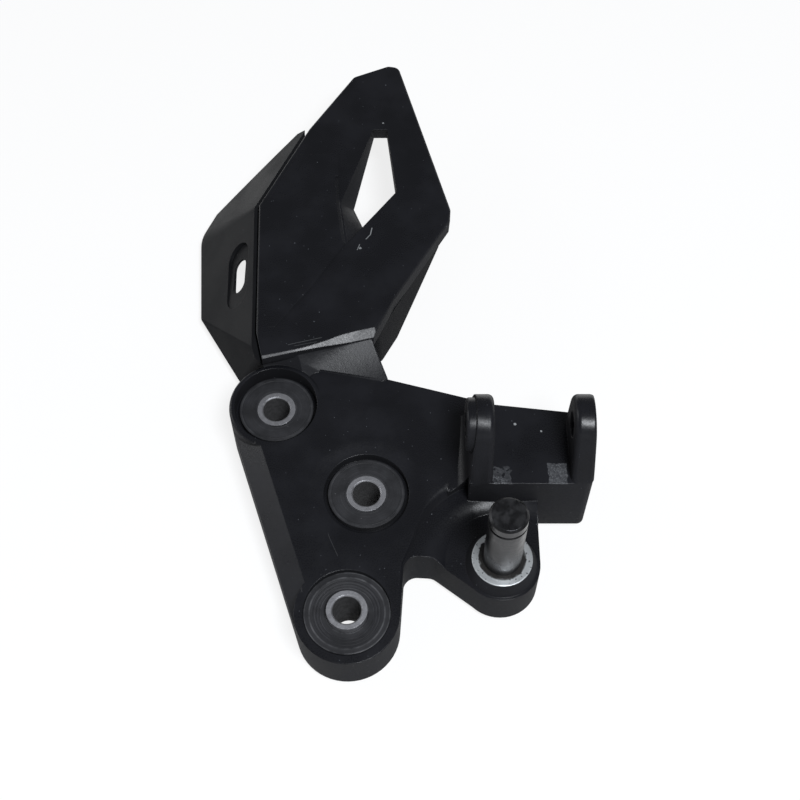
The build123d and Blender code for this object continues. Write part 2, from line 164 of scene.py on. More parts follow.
class Recipe:
    """Node tree of one material, filled from Python expressions, with places in millimetres."""

    def __init__(self, name: str) -> None:
        """Start an empty material and read the piece's own coordinates."""
        self.material = bpy.data.materials.new(name)
        self.material.use_nodes = True
        self.tree = self.material.node_tree
        self.tree.nodes.clear()
        metres = self.node("ShaderNodeTexCoord", {}, {}, "Object")
        self.place = self.vector("SCALE", metres, scale=1 / MILLIMETRE)

    def node(
        self,
        kind: str,
        settings: dict[str, Any],
        inputs: dict[Union[int, str], Any],
        output: Union[int, str] = 0,
    ) -> Signal:
        """Add one node.

        Args:
            kind: The node's type.
            settings: Its settings.
            inputs: Values or links for its sockets, by name or number.
            output: Name or number of the output to hand back.

        Returns:
            The chosen output.
        """
        made = self.tree.nodes.new(kind)
        for key, value in settings.items():
            setattr(made, key, value)
        for key, value in inputs.items():
            if isinstance(value, Signal):
                self.tree.links.new(value.socket, made.inputs[key])
            else:
                made.inputs[key].default_value = value
        return Signal(self, made.outputs[output])

    def vector(
        self,
        operation: str,
        first: Union[Signal, Place],
        second: Optional[Union[Signal, Place]] = None,
        scale: Optional[Number] = None,
    ) -> Signal:
        """Add one Vector Math node, and hand back its vector or its number.

        Args:
            operation: The node's operation.
            first: First vector.
            second: Second vector, if the operation has one.
            scale: Factor, for a scaling.

        Returns:
            The result.
        """
        inputs: dict[Union[int, str], Any] = {0: first}
        if second is not None:
            inputs[1] = second
        if scale is not None:
            inputs["Scale"] = scale
        output = "Value" if operation in ("DISTANCE", "DOT_PRODUCT") else "Vector"
        return self.node("ShaderNodeVectorMath", {"operation": operation}, inputs, output)

    def mix(self, mask: Number, base: Shade, over: Shade) -> Signal:
        """Colour that goes from one to another as a mask rises.

        Args:
            mask: 0 for the first colour, 1 for the second.
            base: First colour.
            over: Second colour.

        Returns:
            The mixed colour.
        """
        base = base if isinstance(base, Signal) else (*base, 1.0)
        over = over if isinstance(over, Signal) else (*over, 1.0)
        settings = {"data_type": "RGBA", "clamp_factor": True}
        return self.node("ShaderNodeMix", settings, {0: mask, 6: base, 7: over}, 2)

    def between(self, mask: Number, base: float, over: float) -> Signal:
        """Number that goes from one value to another as a mask rises."""
        return base + mask * (over - base)

    def noise(
        self,
        size: float,
        detail: float = 3.0,
        shift: Place = (0.0, 0.0, 0.0),
        stretch: Place = (1.0, 1.0, 1.0),
    ) -> Signal:
        """Cloudy noise, from about 0.3 to 0.7.

        Args:
            size: Size of its patches in millimetres.
            detail: How many finer layers it has.
            shift: Offset that makes one noise differ from another.
            stretch: Factors on the coordinates, for streaks.

        Returns:
            The noise.
        """
        where = self.vector("MULTIPLY", self.place, stretch)
        where = self.vector("ADD", where, shift)
        inputs = {"Vector": where, "Scale": 1 / size, "Detail": detail}
        return self.node("ShaderNodeTexNoise", {}, inputs, "Fac")

    def wander(
        self, reach: float, size: float, detail: float, shift: Place = (0.0, 0.0, 0.0)
    ) -> Signal:
        """Uneven number that strays about as far as its reach to either side of 0."""
        return (self.noise(size, detail, shift) - 0.5) * (NOISE_SPAN * reach)

    def specks(
        self, spacing: float, radius: float, share: float, shift: Place = (0.0, 0.0, 0.0)
    ) -> Signal:
        """Scattered small round specks.

        Args:
            spacing: Mean distance between cells in millimetres.
            radius: Radius of a speck in millimetres.
            share: Part of the cells that hold a speck, from 0 to 1.
            shift: Offset that makes one scatter differ from another.

        Returns:
            Mask of the specks.
        """
        where = self.vector("ADD", self.place, shift)
        cell = {"Vector": where, "Scale": 1 / spacing}
        reach = self.node("ShaderNodeTexVoronoi", {"feature": "F1"}, cell, "Distance")
        chance = self.node("ShaderNodeTexVoronoi", {"feature": "F1"}, cell, "Color")
        pick = self.node("ShaderNodeSeparateColor", {}, {0: chance}, 0)
        size = self.node("ShaderNodeSeparateColor", {}, {0: chance}, 1)
        edge = (0.4 + 0.6 * size) * (radius / spacing)
        return (pick > 1 - share) * (reach / edge).step(1.0, 0.6)

    def walls(self) -> Signal:
        """Mask of the surfaces that stand upright."""
        normal = self.node("ShaderNodeTexCoord", {}, {}, "Normal")
        upright = self.node("ShaderNodeSeparateXYZ", {}, {0: normal}, "Z")
        return upright.or_more(0.0 - upright).step(WALL_STARTS, WALL_FULL)

    def patch(self, patch: "Patch", fade: float = 0.1) -> Signal:
        """Mask of a box-shaped patch with a ragged but clear edge.

        Args:
            patch: The patch.
            fade: Half width of its edge in millimetres.

        Returns:
            The mask.
        """
        middle = tuple(0.5 * (a + b) for a, b in zip(patch.low, patch.high))
        offset = self.vector("ABSOLUTE", self.vector("SUBTRACT", self.place, middle))
        wander = self.wander(patch.edge, 1.4, 3.0, (5.0, 1.0, 2.0))
        mask: Number = 1.0
        for axis, a, b in zip("XYZ", patch.low, patch.high):
            reach = self.node("ShaderNodeSeparateXYZ", {}, {0: offset}, axis) + wander
            half = 0.5 * (b - a)
            mask = reach.step(half + fade, half - fade) * mask
        return mask

    def along_z(self) -> Signal:
        """Height over the frame side, in millimetres."""
        return self.node("ShaderNodeSeparateXYZ", {}, {0: self.place}, "Z")

    def from_axis(self, centre: Spot) -> Signal:
        """Distance from an upright axis in millimetres."""
        flat = self.vector("MULTIPLY", self.place, (1.0, 1.0, 0.0))
        return self.vector("DISTANCE", flat, (centre[0], centre[1], 0.0))

    def spot(self, centre: Place, radius: float, ragged: float = 0.3) -> Signal:
        """Mask of a rough-edged spot.

        Args:
            centre: Its middle in millimetres.
            radius: Its radius in millimetres.
            ragged: How uneven its edge is, as a share of the radius.

        Returns:
            The mask.
        """
        reach = self.vector("DISTANCE", self.place, centre)
        wander = self.wander(ragged * radius, radius * 0.5, 2.0)
        return (reach + wander).step(radius * 1.1, radius * 0.85)

    def stroke(self, line_mark: "LineMark") -> Signal:
        """Mask of one line mark, which serves for scratches and for painted highlight lines."""
        run = Vector(line_mark.end) - Vector(line_mark.start)
        offset = self.vector("SUBTRACT", self.place, line_mark.start)
        share = self.vector("DOT_PRODUCT", offset, tuple(run / run.length_squared))
        share = share.or_more(0.0).or_less(1.0)
        foot = self.vector("SCALE", tuple(run), scale=share)
        reach = self.vector("DISTANCE", offset, foot)
        return reach.step(line_mark.width * 1.4, line_mark.width * 0.6) * line_mark.strength

    def soft_edges(self, radius: float, height: Signal, depth: float) -> Signal:
        """Normal with softened edges and a fine relief.

        Args:
            radius: Radius of the soft edges in millimetres.
            height: Relief, from 0 to 1.
            depth: Depth of the relief in millimetres.

        Returns:
            The normal.
        """
        soft = self.node("ShaderNodeBevel", {"samples": 6}, {"Radius": radius * MILLIMETRE})
        relief = {"Strength": 1.0, "Distance": depth * MILLIMETRE, "Height": height}
        return self.node("ShaderNodeBump", {}, {**relief, "Normal": soft})

    def surface(self, varying: dict[str, Signal], fixed: dict[str, Any]) -> bpy.types.Material:
        """Finish the material with one Principled shader.

        Args:
            varying: Links for the sockets that change over the surface.
            fixed: Values for the sockets that don't.

        Returns:
            The material.
        """
        shader = self.node("ShaderNodeBsdfPrincipled", {}, {**varying, **fixed})
        self.node_to_output(shader)
        return self.material

    def node_to_output(self, shader: Signal) -> None:
        """Join a shader to the material's output."""
        output = self.tree.nodes.new("ShaderNodeOutputMaterial")
        self.tree.links.new(shader.socket, output.inputs["Surface"])


@dataclass(frozen=True)
class LineMark:
    """A thin line on the paint, used for scratches and for painted highlight lines, by its two ends
    in millimetres, its half width and its strength.
    """

    start: Place
    end: Place
    width: float
    strength: float


@dataclass(frozen=True)
class Chip:
    """A small chip in the paint, by its middle and radius in millimetres."""

    centre: Place
    radius: float


@dataclass(frozen=True)
class Patch:
    """A rubbed patch, by its lowest and highest corners and how far its edge wanders."""

    low: Place
    high: Place
    edge: float


@dataclass(frozen=True)
class SatinBlackPaint:
    """Satin black paint on die-cast aluminium, with its dust, scratches and worn corners, a darker
    ring round the stud's foot, and painted highlight lines along the guard's lower edge.
    """

    pivot: Spot = (42.3, -22.6)
    hub_face: float = 20.3
    hub_rim: float = 9.4
    dark_rim: float = 7.2
    specular: float = 0.22
    roughness: tuple[float, float] = (0.27, 0.35)
    wall_roughness: float = 0.5
    edge_radius: float = 0.45
    peel_depth: float = 0.035
    paint: Colour = (0.0066, 0.0068, 0.0084)
    dust: Colour = (0.16, 0.17, 0.19)
    # Colour of the bare metal, also used for the painted highlight lines.
    metal_and_highlight: Colour = (0.60, 0.62, 0.63)
    rubbed: Colour = (0.10, 0.103, 0.11)
    # Colour of the darker ring round the stud's foot on the hub face.
    darkening: Colour = (0.02, 0.019, 0.018)
    left_rub: Patch = Patch((39.7, -2.5, 29.7), (45.2, 4.2, 30.3), 0.9)
    left_corner: Patch = Patch((39.7, -2.5, 29.7), (44.0, 1.0, 30.3), 0.6)
    right_rub: Patch = Patch((57.0, -2.5, 29.7), (62.9, 5.4, 30.3), 0.35)
    chips: tuple[Chip, ...] = (
        Chip((-7.6, 96.9, 30.6), 0.55),
        Chip((-6.8, 95.9, 30.6), 0.40),
        Chip((-3.2, 91.1, 30.0), 0.45),
        Chip((2.2, 145.8, 30.0), 0.35),
        Chip((4.4, 150.4, 30.0), 0.35),
        Chip((19.8, -15.6, 19.9), 0.55),
        Chip((47.5, 19.7, 30.0), 0.45),
        Chip((55.7, 17.1, 30.0), 0.35),
        Chip((32.0, 11.9, 21.8), 0.5),
    )
    scratches_and_highlight_lines: tuple[LineMark, ...] = (
        LineMark((0.8, 100.1, 30.0), (0.3, 97.2, 30.0), 0.16, 0.55),
        LineMark((0.3, 97.2, 30.0), (-1.2, 95.2, 30.0), 0.14, 0.45),
        LineMark((-6.4, 98.6, 30.4), (-7.4, 95.6, 30.4), 0.14, 0.5),
        LineMark((-3.4, 92.8, 30.0), (-4.2, 90.4, 30.0), 0.12, 0.4),
        LineMark((-22.3, 70.4, 30.8), (-21.2, 68.7, 30.8), 0.16, 0.5),
        # Painted highlight: these two faint lines along the guard's lower edge stand in for the
        # bright band of its sill.
        LineMark((-26.5, 50.4, 30.0), (-15.5, 53.3, 30.0), 0.08, 0.12),
        LineMark((-24.5, 49.9, 30.0), (-17.0, 51.6, 30.0), 0.06, 0.10),
        LineMark((-12.9, -10.3, 20.2), (-11.4, -15.3, 19.9), 0.08, 0.05),
        LineMark((-11.4, -15.3, 19.9), (-8.6, -21.5, 19.5), 0.08, 0.05),
    )

    def build(self) -> bpy.types.Material:
        """The paint as a material."""
        recipe = Recipe("satin_black_paint")
        bare_and_highlight = self._bare_metal_and_highlight(recipe)
        rubbed = self._rubbed(recipe)
        # Darker ring round the stud's foot on the hub face.
        darkening = recipe.from_axis(self.pivot).step(self.dark_rim + 0.5, self.dark_rim)
        darkening = darkening * self._at_hub_face(recipe)
        large_dust = recipe.specks(3.1, 0.24, 0.16, (7.0, 3.0, 1.0))
        dust = recipe.specks(1.5, 0.15, 0.30).or_more(large_dust)
        cloud = recipe.noise(14.0, 4.0, (3.0, 8.0, 2.0)).step(0.35, 0.7)
        colour = recipe.mix(cloud, self.paint, scaled(self.paint, 1.5))
        colour = recipe.mix(dust * 0.75, colour, self.dust)
        colour = recipe.mix(rubbed, colour, self.rubbed)
        colour = recipe.mix(bare_and_highlight, colour, self.metal_and_highlight)
        colour = recipe.mix(darkening * 0.9, colour, self.darkening)
        fine = recipe.noise(0.5, 3.0, (1.0, 5.0, 9.0))
        roughness = recipe.between(cloud, *self.roughness) + (fine - 0.5) * 0.25
        roughness = roughness + dust * 0.3 + bare_and_highlight * 0.1 + recipe.walls() * self.wall_roughness
        peel = recipe.noise(1.7, 2.0) * 0.5 + fine * 0.4 + dust * 0.25 - bare_and_highlight * 0.2
        normal = recipe.soft_edges(self.edge_radius, peel, self.peel_depth)
        return recipe.surface(
            {
                "Base Color": colour,
                "Metallic": bare_and_highlight * (1.0 - darkening) * 0.9,
                "Roughness": roughness.or_more(0.12).or_less(0.95),
                "Normal": normal,
            },
            {"Specular IOR Level": self.specular},
        )

    def _at_hub_face(self, recipe: Recipe) -> Signal:
        """Mask of heights about the pivot boss's turned face."""
        over = recipe.along_z() - self.hub_face
        return over.step(-0.25, -0.05) * over.step(0.4, 0.2)

    def _bare_metal_and_highlight(self, recipe: Recipe) -> Signal:
        """Mask of the light marks: the turned hub face, chips and scratches that show bare metal,
        and the painted highlight lines.
        """
        reach = recipe.from_axis(self.pivot)
        inner = reach + recipe.wander(0.8, 2.2, 3.0, (6.0, 2.0, 5.0))
        remains = recipe.noise(0.9, 4.0, (2.0, 2.0, 5.0)).step(0.60, 0.66)
        ring = inner.step(self.dark_rim - 0.1, self.dark_rim + 0.3)
        ring = ring * reach.step(self.hub_rim + 0.3, self.hub_rim - 0.05)
        bare_and_highlight = ring * self._at_hub_face(recipe) * (1.0 - 0.85 * remains)
        for chip in self.chips:
            bare_and_highlight = bare_and_highlight.or_more(recipe.spot(chip.centre, chip.radius, 0.25))
        for line_mark in self.scratches_and_highlight_lines:
            bare_and_highlight = bare_and_highlight.or_more(recipe.stroke(line_mark))
        return bare_and_highlight

    def _rubbed(self, recipe: Recipe) -> Signal:
        """Mask of the stop face's lower corners, where the footrest has rubbed the paint thin."""
        streaks = recipe.noise(0.8, 4.0, (4.0, 1.0, 0.0)).step(0.40, 0.64)
        right = recipe.patch(self.right_rub)
        thin = (recipe.patch(self.left_rub) * (0.25 + streaks * 0.25)).or_more(
            right * (0.35 + streaks * 0.3)
        )
        specks = recipe.noise(0.45, 3.0, (1.0, 7.0, 0.0)).step(0.52, 0.60)
        return thin.or_more(recipe.patch(self.left_corner).or_more(right) * specks)


@dataclass(frozen=True)
class BushRubber:
    """Dull black rubber with faint moulding rings round its sleeve."""

    name: str
    centre: Spot
    scuff: float
    rubber: Colour = (0.0165, 0.0168, 0.0190)
    scuffed: Colour = (0.09, 0.09, 0.095)
    dust: Colour = (0.2, 0.2, 0.2)
    ring_spacing: float = 0.85
    specular: float = 0.3
    edge_radius: float = 0.3
    grain_depth: float = 0.09

    def build(self) -> bpy.types.Material:
        """The rubber as a material."""
        recipe = Recipe(self.name)
        radius = recipe.from_axis(self.centre)
        turn = {"W": radius * (1 / self.ring_spacing), "Scale": 1.0, "Detail": 2.0}
        rings = recipe.node("ShaderNodeTexNoise", {"noise_dimensions": "1D"}, turn, "Fac")
        cloud = recipe.noise(5.0, 4.0, (self.centre[0], 2.0, 0.0)).step(0.3, 0.7)
        grain = recipe.noise(0.35, 3.0)
        dust = recipe.specks(1.4, 0.16, 0.25, (self.centre[1], 0.0, 4.0))
        wear = rings.step(0.5, 0.72) * self.scuff
        colour = recipe.mix(cloud, scaled(self.rubber, 0.8), scaled(self.rubber, 1.25))
        colour = recipe.mix(wear * cloud, colour, self.scuffed)
        colour = recipe.mix(dust * 0.7, colour, self.dust)
        roughness = 0.52 + cloud * 0.12 - wear * 0.2
        relief = rings * 0.6 + grain * 0.4
        normal = recipe.soft_edges(self.edge_radius, relief, self.grain_depth)
        return recipe.surface(
            {"Base Color": colour, "Roughness": roughness, "Normal": normal},
            {"Specular IOR Level": self.specular},
        )


@dataclass(frozen=True)
class ZincPlate:
    """Dull grey zinc plate on steel, scuffed on its end faces, with painted shade that makes its
    bore almost black.
    """

    name: str
    centre: Spot
    bore_radius: float = 4.5
    zinc: Colour = (0.40, 0.40, 0.42)
    # Colour of the painted shade in the bore.
    bore_shade: Colour = (0.010, 0.0095, 0.009)

    def build(self) -> bpy.types.Material:
        """The plating as a material."""
        recipe = Recipe(self.name)
        radius = recipe.from_axis(self.centre)
        bore = radius.step(self.bore_radius + 0.15, self.bore_radius - 0.15)
        cloud = recipe.noise(1.6, 4.0, (self.centre[1], 0.0, 3.0))
        grain = recipe.noise(0.3, 4.0, (0.0, 6.0, 0.0))
        blotch = cloud.step(0.38, 0.66)
        colour = recipe.mix(blotch, self.zinc, scaled(self.zinc, 0.62))
        # Painted shade: the bore is coloured almost black, matt and hardly metallic.
        colour = recipe.mix(bore * 0.97, colour, self.bore_shade)
        roughness = 0.42 + blotch * 0.14 + (grain - 0.5) * 0.3 + bore * 0.5
        normal = recipe.soft_edges(0.15, grain * 0.6 + cloud * 0.4, 0.06)
        metallic = 0.92 - bore * 0.85
        looks = {"Base Color": colour, "Roughness": roughness, "Metallic": metallic}
        return recipe.surface({**looks, "Normal": normal}, {})


@dataclass(frozen=True)
class BareSteel:
    """Bare turned steel, worn by the pedal's bush, with greasy smears, and darker near its foot and
    in its groove.
    """

    foot: float = 20.3
    end: float = 50.3
    steel: Colour = (0.045, 0.045, 0.047)
    end_steel: Colour = (0.045, 0.045, 0.048)
    # Colour of the greasy smears, and of the darker foot and groove.
    darkening: Colour = (0.018, 0.0175, 0.018)

    def build(self) -> bpy.types.Material:
        """The steel as a material."""
        recipe = Recipe("bare_turned_steel")
        height = recipe.along_z()
        smear = recipe.noise(3.2, 4.0, (1.0, 9.0, 0.0), (1.0, 1.0, 0.45))
        turning = recipe.noise(0.5, 3.0, (0.0, 0.0, 2.0), (0.04, 0.04, 1.0))
        rough_end = recipe.noise(0.6, 4.0, (5.0, 0.0, 2.0), (1.0, 0.3, 1.0))
        low = height.step(self.foot + 4.5, self.foot)
        under = self.end - height
        at_end = under.step(0.2, 0.05)
        groove = under.step(5.2, 4.9) * under.step(3.4, 3.7)
        # Greasy smears, and darker steel near the foot and in the groove.
        darkening = (smear.step(0.40, 0.62) * 0.55).or_more(low * 0.85).or_more(groove * 0.75)
        colour = recipe.mix(darkening, self.steel, self.darkening)
        colour = recipe.mix(at_end * 0.8, colour, self.end_steel)
        side = turning * (1.0 - at_end) + rough_end * at_end
        roughness = 0.30 + darkening * 0.18 + (side - 0.5) * 0.3
        normal = recipe.soft_edges(0.2, side, 0.03)
        metallic = 1.0 - darkening * 0.45
        looks = {"Base Color": colour, "Metallic": metallic, "Roughness": roughness}
        return recipe.surface({**looks, "Normal": normal}, {})


@dataclass(frozen=True)
class TexturedPlastic:
    """Black moulded plastic with a fine spark-eroded texture."""

    plastic: Colour = (0.0058, 0.0060, 0.0068)
    dust: Colour = (0.15, 0.155, 0.17)
    specular: float = 0.1
    wall_roughness: float = 0.4

    def build(self) -> bpy.types.Material:
        """The plastic as a material."""
        recipe = Recipe("textured_black_plastic")
        cloud = recipe.noise(18.0, 4.0, (2.0, 0.0, 7.0)).step(0.3, 0.7)
        grain = recipe.noise(0.45, 2.0, (3.0, 3.0, 3.0))
        dust = recipe.specks(1.9, 0.2, 0.2, (2.0, 9.0, 4.0))
        colour = recipe.mix(cloud, self.plastic, scaled(self.plastic, 1.35))
        colour = recipe.mix(dust * 0.6, colour, self.dust)
        normal = recipe.soft_edges(0.4, grain, 0.06)
        roughness = recipe.between(cloud, 0.40, 0.50) + recipe.walls() * self.wall_roughness
        return recipe.surface(
            {"Base Color": colour, "Roughness": roughness, "Normal": normal},
            {"Specular IOR Level": self.specular},
        )


@dataclass(frozen=True)
class BlackOxide:
    """Black oxide on the screws' steel."""

    oxide: Colour = (0.045, 0.045, 0.048)

    def build(self) -> bpy.types.Material:
        """The oxide as a material."""
        recipe = Recipe("black_oxide_steel")
        grain = recipe.noise(0.5, 3.0)
        cloud = grain.step(0.35, 0.65)
        colour = recipe.mix(cloud, self.oxide, scaled(self.oxide, 1.6))
        metallic, roughness = 0.6 + cloud * 0.2, 0.45 + cloud * 0.1
        normal = recipe.soft_edges(0.15, grain, 0.03)
        looks = {"Base Color": colour, "Metallic": metallic, "Roughness": roughness}
        return recipe.surface({**looks, "Normal": normal}, {})


@dataclass(frozen=True)
class PaleFloor:
    """Plain pale floor, which shows white and keeps the shadow."""

    shade: Colour = (0.96, 0.96, 0.96)
    plain_share: float = 0.80

    def build(self) -> bpy.types.Material:
        """The floor as a material."""
        recipe = Recipe("pale_floor")
        kinds = ("Is Camera Ray", "Is Glossy Ray", "Is Transmission Ray")
        rays = [recipe.node("ShaderNodeLightPath", {}, {}, kind) for kind in kinds]
        seen = rays[0].or_more(rays[1]).or_more(rays[2])
        lit = recipe.node("ShaderNodeBsdfDiffuse", {}, {"Color": (*self.shade, 1.0)})
        white = {"Color": (1.0, 1.0, 1.0, 1.0), "Strength": 1.0}
        plain = recipe.node("ShaderNodeEmission", {}, white)
        sides = {0: seen * self.plain_share, 1: lit, 2: plain}
        recipe.node_to_output(recipe.node("ShaderNodeMixShader", {}, sides))
        return recipe.material


def dress(node: str, material: bpy.types.Material) -> None:
    """Give a CAD node its finish.

    Args:
        node: Name of the CAD node.
        material: The finish.
    """
    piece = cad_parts[node]
    if not piece.data.materials:
        piece.data.materials.append(material)
    for index in range(len(piece.data.materials)):
        piece.data.materials[index] = material
    LOG.info("%s: finish %s", node, material.name)


class BeadTree:
    """Geometry Nodes tree that lays concentric beads round an upright axis."""

    def __init__(self, material: bpy.types.Material) -> None:
        """Build the tree with one finish for its beads."""
        self.tree = bpy.data.node_groups.new("concentric_beads", "GeometryNodeTree")
        sizes = (
            ("Beads", "NodeSocketInt"),
            ("First radius", "NodeSocketFloat"),
            ("Radius step", "NodeSocketFloat"),
            ("Bead radius", "NodeSocketFloat"),
            ("Centre", "NodeSocketVector"),
            ("Rise", "NodeSocketVector"),
        )
        sockets = self.tree.interface
        self.inputs = {
            name: sockets.new_socket(name, in_out="INPUT", socket_type=kind).identifier
            for name, kind in sizes
        }
        sockets.new_socket("Geometry", in_out="OUTPUT", socket_type="NodeSocketGeometry")
        self._fill(material)

    def _add(self, kind: str, links: dict[Union[int, str], Any]) -> bpy.types.NodeSocket:
        """Add one node and join or set its sockets.

        Args:
            kind: The node's type.
            links: Sockets or values for its inputs, by name or number.

        Returns:
            Its first output.
        """
        made = self.tree.nodes.new(kind)
        for key, value in links.items():
            if isinstance(value, bpy.types.NodeSocket):
                self.tree.links.new(value, made.inputs[key])
            else:
                made.inputs[key].default_value = value
        return made.outputs[0]

    def _fill(self, material: bpy.types.Material) -> None:
        """Circles of growing radius on points, swept with a round bead."""
        given = self.tree.nodes.new("NodeGroupInput").outputs
        row = {"Count": given["Beads"], "Start Location": given["Centre"], "Offset": given["Rise"]}
        points = self._add("GeometryNodeMeshLine", row)
        index = self._add("GeometryNodeInputIndex", {})
        growth = self._add("ShaderNodeMath", {1: given["Radius step"], 0: index})
        growth.node.operation = "MULTIPLY"
        radius = self._add("ShaderNodeMath", {0: given["First radius"], 1: growth})
        radius.node.operation = "ADD"
        circle = self._add("GeometryNodeCurvePrimitiveCircle", {"Resolution": 96, "Radius": 1.0})
        copies = {"Points": points, "Instance": circle, "Scale": radius}
        ring = self._add("GeometryNodeInstanceOnPoints", copies)
        paths = self._add("GeometryNodeRealizeInstances", {"Geometry": ring})
        round_bead = {"Resolution": 10, "Radius": given["Bead radius"]}
        bead = self._add("GeometryNodeCurvePrimitiveCircle", round_bead)
        swept = self._add("GeometryNodeCurveToMesh", {"Curve": paths, "Profile Curve": bead})
        smooth = self._add("GeometryNodeSetShadeSmooth", {"Geometry": swept})
        real = self._add("GeometryNodeRealizeInstances", {"Geometry": smooth})
        dressed = self._add("GeometryNodeSetMaterial", {"Geometry": real, "Material": material})
        self._close(dressed)

    def _close(self, result: bpy.types.NodeSocket) -> None:
        """Join the result to the tree's output."""
        output = self.tree.nodes.new("NodeGroupOutput")
        self.tree.links.new(result, output.inputs["Geometry"])

    def make(self, name: str, sizes: dict[str, Any]) -> bpy.types.Object:
        """Run the tree and keep its result as a plain mesh.

        Args:
            name: Name of the piece.
            sizes: Values of the tree's inputs, by name.

        Returns:
            The piece, with no modifier left on it.
        """
        piece = bpy.data.objects.new(name, bpy.data.meshes.new(name))
        modifier = piece.modifiers.new("beads", "NODES")
        modifier.node_group = self.tree
        for key, value in sizes.items():
            modifier[self.inputs[key]] = value
        bpy.context.scene.collection.objects.link(piece)
        graph = bpy.context.evaluated_depsgraph_get()
        mesh = bpy.data.meshes.new_from_object(piece.evaluated_get(graph))
        piece.modifiers.remove(modifier)
        piece.data = mesh
        return piece


@dataclass
class FrameBush:
    """Rubber bush with its steel sleeve, which takes one of the bolts to the frame."""

    name: str
    centre: Spot
    face: float
    beads: int
    first_bead: float
    bead_step: float
    bead_radius: float
    bead_rise: float
    scuff: float

    def build(self) -> None:
        """Dress the bush and the sleeve, and lay the moulded beads."""
        rubber = BushRubber(f"bush_rubber_{self.name}", self.centre, self.scuff).build()
        dress(f"bush_{self.name}", rubber)
        dress(f"sleeve_{self.name}", ZincPlate(f"zinc_plate_{self.name}", self.centre).build())
        sunk = 0.5 * self.bead_radius
        sizes = {
            "Beads": self.beads,
            "First radius": self.first_bead * MILLIMETRE,
            "Radius step": self.bead_step * MILLIMETRE,
            "Bead radius": self.bead_radius * MILLIMETRE,
            "Centre": scaled((*self.centre, self.face - sunk), MILLIMETRE),
            "Rise": (0.0, 0.0, self.bead_rise * MILLIMETRE),
        }
        piece = BeadTree(rubber).make(f"bush_{self.name}_beads", sizes)
        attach(piece, BODY)
        LOG.info("%s: %d beads, %d faces", piece.name, self.beads, len(piece.data.polygons))


class Combine(Enum):
    """Ways to work one solid into another."""

    CUT = "DIFFERENCE"
    JOIN = "UNION"


def millimetres(point: Place) -> Vector:
    """A point given in millimetres, in Blender's metres."""
    return Vector(point) * MILLIMETRE


def closed_solid(
    name: str, corners: list[Place], faces: list[tuple[int, ...]]
) -> bpy.types.Object:
    """Make a closed solid from its corners.

    Args:
        name: Name of the object.
        corners: Corners in millimetres.
        faces: Faces, as numbers of their corners.

    Returns:
        The object, with its faces pointing outwards.
    """
    mesh = bpy.data.meshes.new(name)
    mesh.from_pydata([millimetres(corner) for corner in corners], [], faces)
    work = bmesh.new()
    work.from_mesh(mesh)
    bmesh.ops.remove_doubles(work, verts=work.verts, dist=MERGE_GAP)
    bmesh.ops.recalc_face_normals(work, faces=work.faces)
    work.to_mesh(mesh)
    work.free()
    made = bpy.data.objects.new(name, mesh)
    bpy.context.scene.collection.objects.link(made)
    return made


def chain(name: str, rings: list[list[Place]]) -> bpy.types.Object:
    """Make a solid that passes through several outlines with the same number of corners."""
    count = len(rings[0])
    corners = [corner for ring in rings for corner in ring]
    faces = []
    for low in range(0, (len(rings) - 1) * count, count):
        for k in range(count):
            near, far = low + k, low + (k + 1) % count
            faces.append((near, far, far + count, near + count))
    last = (len(rings) - 1) * count
    faces += [tuple(range(count)), tuple(range(last, last + count))]
    return closed_solid(name, corners, faces)


def right_side(left: float) -> bpy.types.Object:
    """A block that takes in the part of the casting right of a plane."""
    low, high, width = -60.0, 40.0, 60.0
    corners = [(left, low), (left + width, low), (left + width, high), (left, high)]
    return chain("right_side", [[(x, y, z) for x, y in corners] for z in (0.0, 60.0)])


def upright(spot: Spot, height: float = 0.0) -> Matrix:
    """Place of a turned solid that stands on an upright axis."""
    return Matrix.Translation((*spot, height))


def turned(name: str, profile: list[Spot], place: Matrix, sides: int = 96) -> bpy.types.Object:
    """Make a turned solid.

    Args:
        name: Name of the object.
        profile: Closed profile as (radius, height) pairs in millimetres.
        place: Where the axis stands, in millimetres.
        sides: How many steps go round it.

    Returns:
        The object.
    """
    corners: list[Place] = []
    for k in range(sides):
        angle = 2 * math.pi * k / sides
        cosine, sine = math.cos(angle), math.sin(angle)
        corners += [tuple(place @ Vector((r * cosine, r * sine, z))) for r, z in profile]
    count = len(profile)
    faces = []
    for k in range(sides):
        for j in range(count):
            a, b = k * count + j, k * count + (j + 1) % count
            c, d = (a + count) % (sides * count), (b + count) % (sides * count)
            faces.append((a, b, d, c))
    return closed_solid(name, corners, faces)


def work_in(piece: bpy.types.Object, tool: bpy.types.Object, way: Combine) -> None:
    """Cut a solid out of a piece, or join it to the piece, and remove the tool.

    Args:
        piece: The piece that changes.
        tool: The solid that is worked in.
        way: Cut or join.
    """
    modifier = piece.modifiers.new("work", "BOOLEAN")
    modifier.operation = way.value
    modifier.solver = "EXACT"
    modifier.object = tool
    graph = bpy.context.evaluated_depsgraph_get()
    mesh = bpy.data.meshes.new_from_object(piece.evaluated_get(graph))
    piece.modifiers.remove(modifier)
    piece.data = mesh
    bpy.data.objects.remove(tool)


def merged_copy(node: str, name: str) -> bpy.types.Object:
    """Copy a CAD node's mesh into a new object, with its loose triangles joined."""
    work = bmesh.new()
    work.from_mesh(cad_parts[node].data)
    bmesh.ops.remove_doubles(work, verts=work.verts, dist=MERGE_GAP)
    mesh = bpy.data.meshes.new(name)
    work.to_mesh(mesh)
    work.free()
    piece = bpy.data.objects.new(name, mesh)
    bpy.context.scene.collection.objects.link(piece)
    return piece


